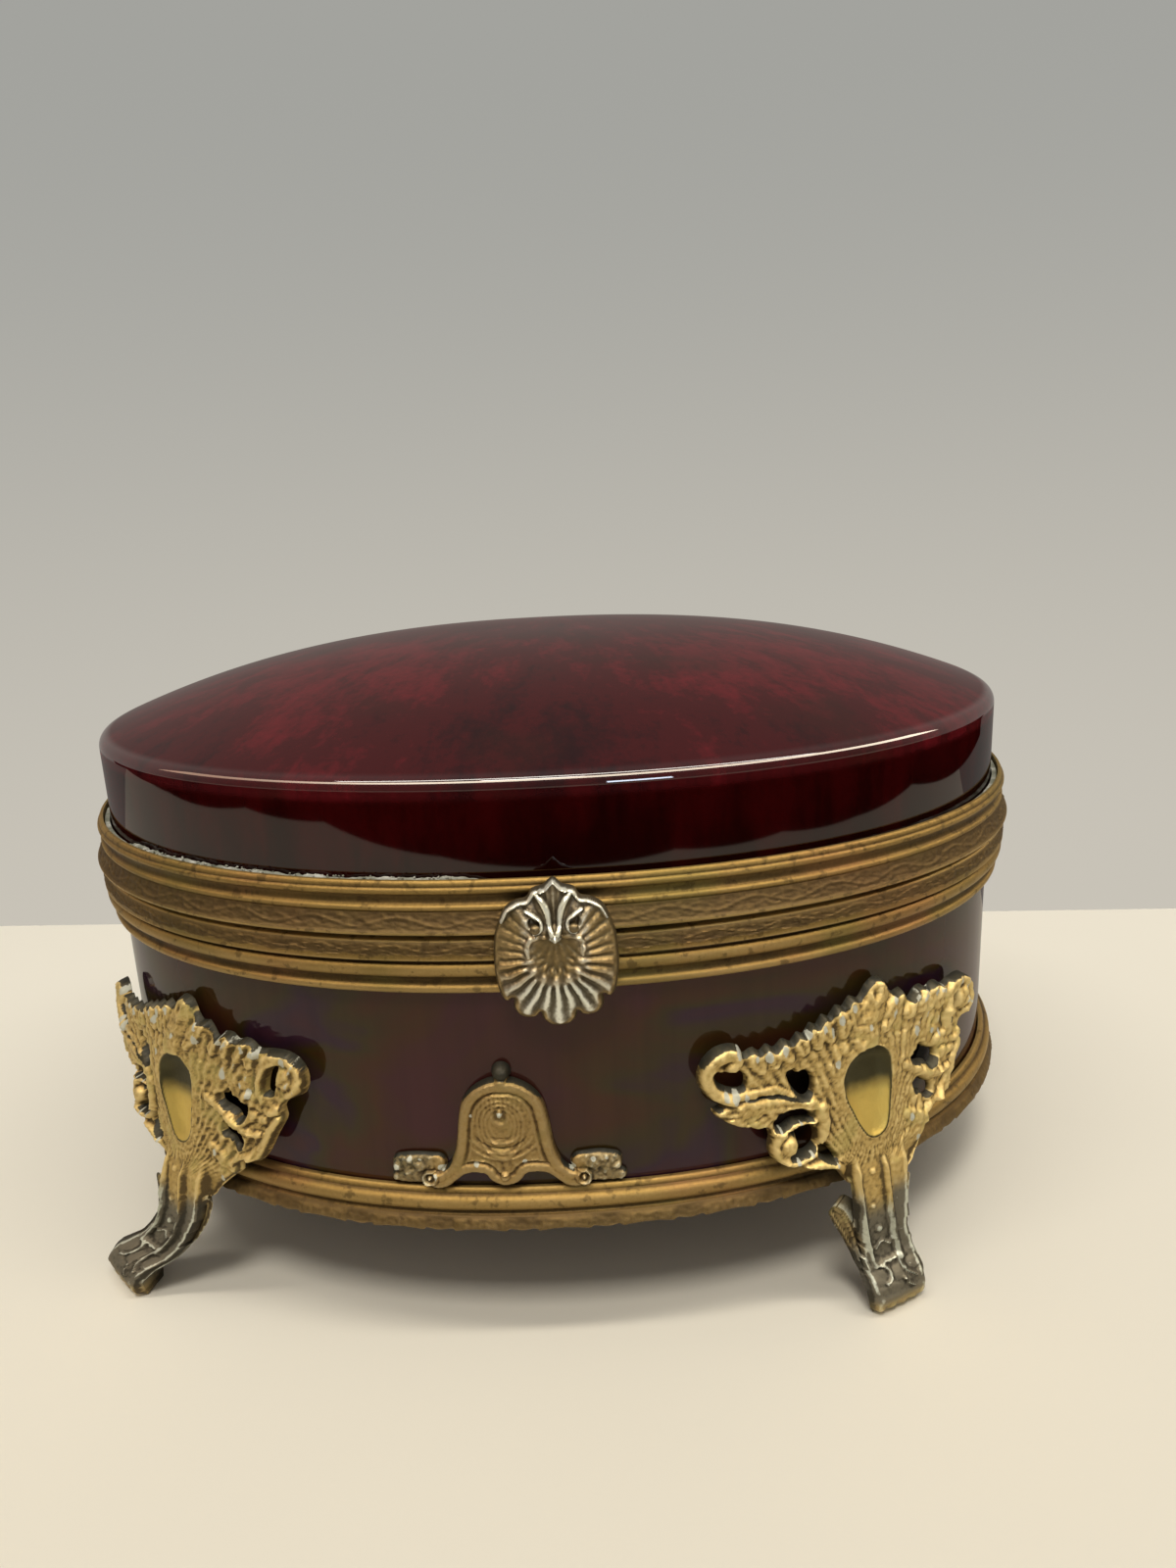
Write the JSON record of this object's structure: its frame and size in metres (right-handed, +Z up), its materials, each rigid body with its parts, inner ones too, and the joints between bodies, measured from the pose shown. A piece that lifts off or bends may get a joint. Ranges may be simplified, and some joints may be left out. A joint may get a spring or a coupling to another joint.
{
  "type": "porcelain box",
  "caption": "Oval footed porcelain box with a domed hinged lid, gilt metal rims, cast rococo feet, a shell clasp and a bell-shaped front mount.",
  "frame": {"origin": "on the ground, under the middle of the box", "axes": "+X along the oval's long axis, -Y towards the clasp, +Z up"},
  "size_m": [0.2078, 0.177, 0.1252],
  "materials": {
    "lid_glaze": "glossy oxblood glaze, mottled crimson over near black",
    "body_glaze": "glossy aubergine-brown glaze with a faint lustre",
    "gilt": "gilt brass, tarnished brown in the hollows",
    "worn_gilt": "cast metal with worn gilding, pewter-dark on the legs",
    "pewter": "cast metal, gilding rubbed to silver-grey on the ridges",
    "plaster": "off-white plaster, matt and crumbling at the edge",
    "steel": "dull steel"
  },
  "bodies": {
    "base": {"body_porcelain": "body_glaze", "base_bezel": "gilt", "base_cement_bed": "plaster", "base_hinge_leaf": "gilt", "hinge_pin": "steel", "bottom_band": "gilt", "bottom_cement_bed": "plaster", "foot_front_left": "worn_gilt", "foot_front_right": "worn_gilt", "foot_back_left": "worn_gilt", "foot_back_right": "worn_gilt", "screw_front_left": "steel", "screw_front_right": "steel", "screw_back_left": "steel", "screw_back_right": "steel", "front_bell_mount": "worn_gilt"},
    "lid": {"lid_porcelain": "lid_glaze", "lid_bezel": "gilt", "lid_cement_bed": "plaster", "lid_hinge_leaf": "gilt", "shell_clasp": "pewter", "clasp_rivet_left": "pewter", "clasp_rivet_right": "pewter"}
  },
  "joints": [
    {"name": "lid_hinge", "type": "hinge", "parent": "base", "child": "lid", "pos_m": [0, 0.0862, 0.083], "axis": [-1, 0, 0], "range_deg": [0, 100]}
  ]
}
